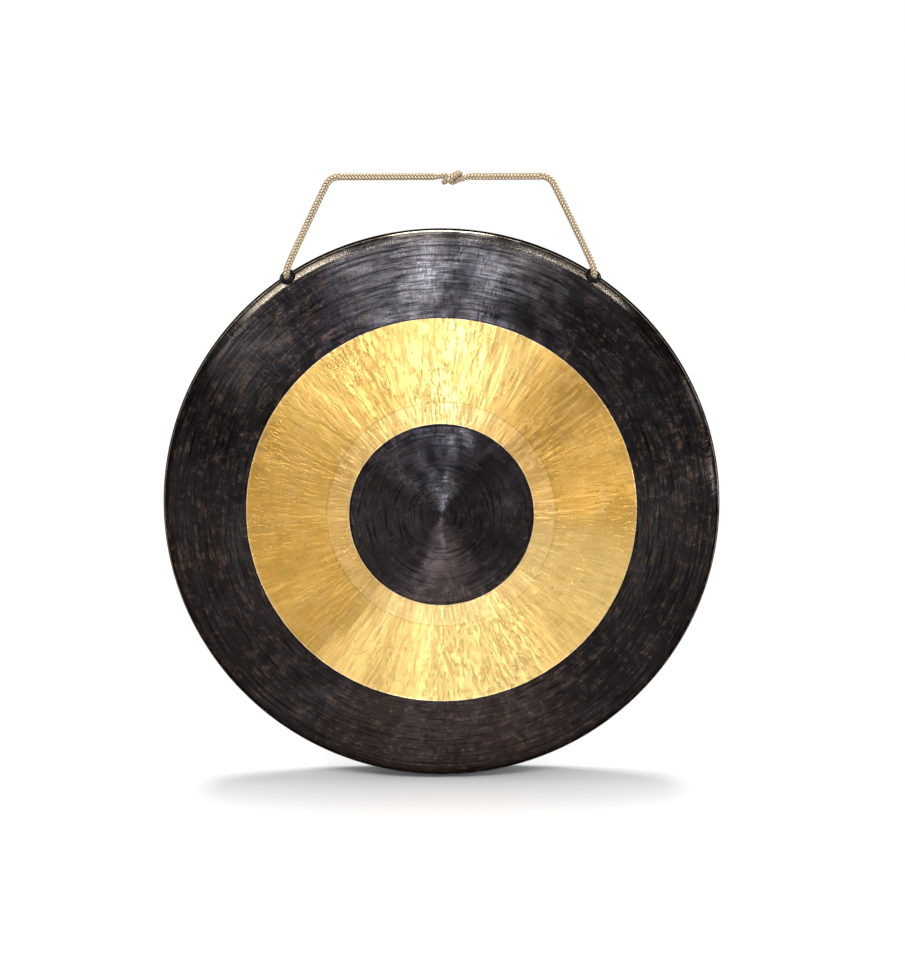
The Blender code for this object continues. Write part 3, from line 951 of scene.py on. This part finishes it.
# A map whose first axis runs out from the middle, so that the grain can follow the lathe
def polarMap(mesh):
    layer = mesh.uv_layers.new(name="polar")
    corners = np.empty(len(mesh.loops), dtype=np.int32)
    mesh.loops.foreach_get("vertex_index", corners)
    points = readPoints(mesh)
    x, z = points[:, 0], points[:, 2] + disc["drop"]
    outward = np.hypot(x, z)[corners]
    turned = (np.arctan2(z, x) / math.tau)[corners]
    first = np.repeat(
        [p.loop_start for p in mesh.polygons], [p.loop_total for p in mesh.polygons],
    )
    turned = turned - np.rint(turned - turned[first])
    layer.data.foreach_set("uv", np.stack([outward / disc["radius"] * 0.5, turned], 1).ravel())


def cutWith(piece, cutterBm):
    cutter = newMesh("cutter", cutterBm, [])
    modifier = piece.modifiers.new("Cut", "BOOLEAN")
    modifier.operation = "DIFFERENCE"
    modifier.solver = "EXACT"
    modifier.object = cutter
    bpy.context.view_layer.update()
    graph = bpy.context.evaluated_depsgraph_get()
    cut = bpy.data.meshes.new_from_object(piece.evaluated_get(graph))
    old = piece.data
    piece.modifiers.clear()
    piece.data = cut
    bpy.data.meshes.remove(old)
    bpy.data.objects.remove(cutter, do_unlink=True)


def holeFrame(side):
    turn = Vector((0, 0, 1)).rotation_difference(holeAxis(side)).to_matrix().to_4x4()
    return Matrix.Translation(holeCentre(side)) @ turn


# A rod through the wall at a hole
def rodAlongHole(side, radius):
    high = disc["shoulder"] / 2
    low = -(disc["wall"] + disc["shoulder"] / 2)
    middle = Matrix.Translation((0, 0, (high + low) / 2))
    bm = bmesh.new()
    bmesh.ops.create_cone(
        bm, cap_ends=True, segments=hole["sides"], radius1=radius, radius2=radius,
        depth=high - low, matrix=holeFrame(side) @ middle,
    )
    return bm


def makeDisc():
    section = discSection(0.0, disc["frontStep"], disc["backStep"], disc["shoulderSteps"])
    gong = newMesh("gongDisc", spinSection(section, disc["sides"]), [bronze])
    hammerFace(gong.data)
    for side in (-1, 1):
        cutWith(gong, rodAlongHole(side, hole["waist"] + 2 * hole["seatGap"]))
    polarMap(gong.data)
    gong.data.shade_smooth()
    gong.data.set_sharp_from_angle(angle=disc["sharp"])
    finishPiece(gong, "gong", ["gong_disc"])


makeDisc()


# Grommets: moulded rings whose slots grip the shoulder

def grommetBlank(side):
    quarter = math.pi / 2
    top, bottom = hole["front"], -disc["wall"] - hole["back"]
    mouth, lip = hole["mouthRound"], hole["flangeRound"]
    steps = hole["roundSteps"]
    section = []
    for centreR, centreZ, radius, first in (
        (hole["bore"] + mouth, bottom + mouth, mouth, 2 * quarter),
        (hole["bore"] + mouth, top - mouth, mouth, quarter),
        (hole["flange"] - lip, top - lip, lip, 0),
        (hole["flange"] - lip, bottom + lip, lip, -quarter),
    ):
        for i in range(steps + 1):
            angle = first + quarter - quarter * i / steps
            section.append((centreR + radius * math.cos(angle), centreZ + radius * math.sin(angle)))
    bm = bmesh.new()
    ring = [bm.verts.new((r, 0.0, z)) for r, z in section]
    edges = [bm.edges.new(pair) for pair in zip(ring, ring[1:] + ring[:1])]
    bmesh.ops.spin(
        bm, geom=ring + edges, cent=(0, 0, 0), axis=(0, 0, 1), angle=math.tau,
        steps=hole["sides"], use_merge=True,
    )
    bmesh.ops.remove_doubles(bm, verts=bm.verts, dist=weld)
    bmesh.ops.recalc_face_normals(bm, faces=bm.faces)
    bmesh.ops.transform(bm, matrix=holeFrame(side), verts=bm.verts)
    return bm


def makeGrommets():
    for side, word in ((-1, "left"), (1, "right")):
        grommet = newMesh("grommet" + word.capitalize(), grommetBlank(side), [rubber])
        step = hole["slotStep"]
        section = discSection(hole["seatGap"], step, step, hole["slotShoulderSteps"])
        slotShape = newMesh("slotShape", spinSection(section, hole["slotSides"]), [])
        cutWith(slotShape, rodAlongHole(side, hole["waist"]))
        slot = bmesh.new()
        slot.from_mesh(slotShape.data)
        bpy.data.objects.remove(slotShape, do_unlink=True)
        cutWith(grommet, slot)
        grommet.data.shade_smooth()
        grommet.data.set_sharp_from_angle(angle=hole["sharp"])
        finishPiece(grommet, "gong", ["grommet_" + word])


makeGrommets()


# Floor, world and lamps

studio = {
    "floorGap": 2.0 * mm,
    "floorSize": 30.0,
    "floorColour": (0.46, 0.46, 0.46),     # as it lights the disc
    "floorSeen": (0.80, 0.80, 0.80),       # as the camera sees it
    "floorRoughness": 0.9,
    "world": 0.38,
    "skySun": 2.8,
    "skySunAngle": math.radians(26),
    "skySunLean": math.radians(9),
}
coolLight = (0.86, 0.94, 1.20)
whiteLight = (1.0, 1.0, 1.0)
# Where each lamp is from the middle of the disc, then its width, height, power and colour
lamps = {
    "keyBox": ((0.05, -1.94, 0.42), 0.20, 0.50, 2.3, coolLight),
    "lowBox": ((-0.01, -1.94, -0.16), 0.09, 0.14, 2.4, coolLight),
    "leftStrip": ((-0.36, -1.90, 0.40), 0.10, 0.50, 1.6, coolLight),
    "farStrip": ((-0.95, -1.70, 0.50), 0.12, 0.60, 3.0, whiteLight),
    "rightHigh": ((1.80, -0.80, 0.46), 0.14, 0.30, 5, whiteLight),
    "rightLow": ((1.80, -0.88, -0.08), 0.20, 0.25, 8, whiteLight),
    "leftHigh": ((-1.10, -0.70, 1.30), 0.80, 0.80, 5, whiteLight),
    "overBar": ((0.0, -1.35, 1.30), 3.00, 0.06, 22, whiteLight),
}


def addFloor():
    bm = bmesh.new()
    bmesh.ops.create_grid(bm, x_segments=2, y_segments=2, size=studio["floorSize"])
    level = -disc["drop"] - disc["radius"] - studio["floorGap"]
    bmesh.ops.translate(bm, vec=(0, 0, level), verts=bm.verts)
    material, tree, shader = newMaterial("paleFloor")
    seen = addNode(tree, "ShaderNodeLightPath").outputs["Is Camera Ray"]
    colour = mixColour(tree, seen, studio["floorColour"], studio["floorSeen"])
    link(tree, colour, shader.inputs["Base Color"])
    shader.inputs["Roughness"].default_value = studio["floorRoughness"]
    shader.inputs["Specular IOR Level"].default_value = 0.0
    floor = newMesh("floor", bm, [material])


def addWorld():
    world = bpy.data.worlds.new("studioWorld")
    bpy.context.scene.world = world
    world.use_nodes = True
    tree = world.node_tree
    background = tree.nodes["Background"]
    seen = addNode(tree, "ShaderNodeLightPath").outputs["Is Camera Ray"]
    strength = rangeMap(tree, seen, 0.0, 1.0, studio["world"], 1.0, False)
    link(tree, strength, background.inputs["Strength"])
    background.inputs["Color"].default_value = (1.0, 1.0, 1.0, 1.0)


def addLamp(name, place, wide, tall, power, colour):
    data = bpy.data.lights.new(name, "AREA")
    data.shape = "RECTANGLE"
    data.size = wide
    data.size_y = tall
    data.energy = power
    data.color = colour
    lamp = bpy.data.objects.new(name, data)
    bpy.context.scene.collection.objects.link(lamp)
    lamp.location = Vector(place) + Vector((0, 0, -disc["drop"]))
    lamp.rotation_euler = (-Vector(place)).to_track_quat("-Z", "Y").to_euler()


# A wide sun above and a little behind: even light on the whole floor,
# with a soft shadow towards the front
def addSkySun():
    data = bpy.data.lights.new("skySun", "SUN")
    data.energy = studio["skySun"]
    data.angle = studio["skySunAngle"]
    sun = bpy.data.objects.new("skySun", data)
    sun.rotation_euler = (-studio["skySunLean"], 0, 0)
    bpy.context.scene.collection.objects.link(sun)


addFloor()
addWorld()
addSkySun()
for lampName, values in lamps.items():
    addLamp(lampName, *values)
bpy.context.scene.view_settings.view_transform = "Standard"
print("studio set")
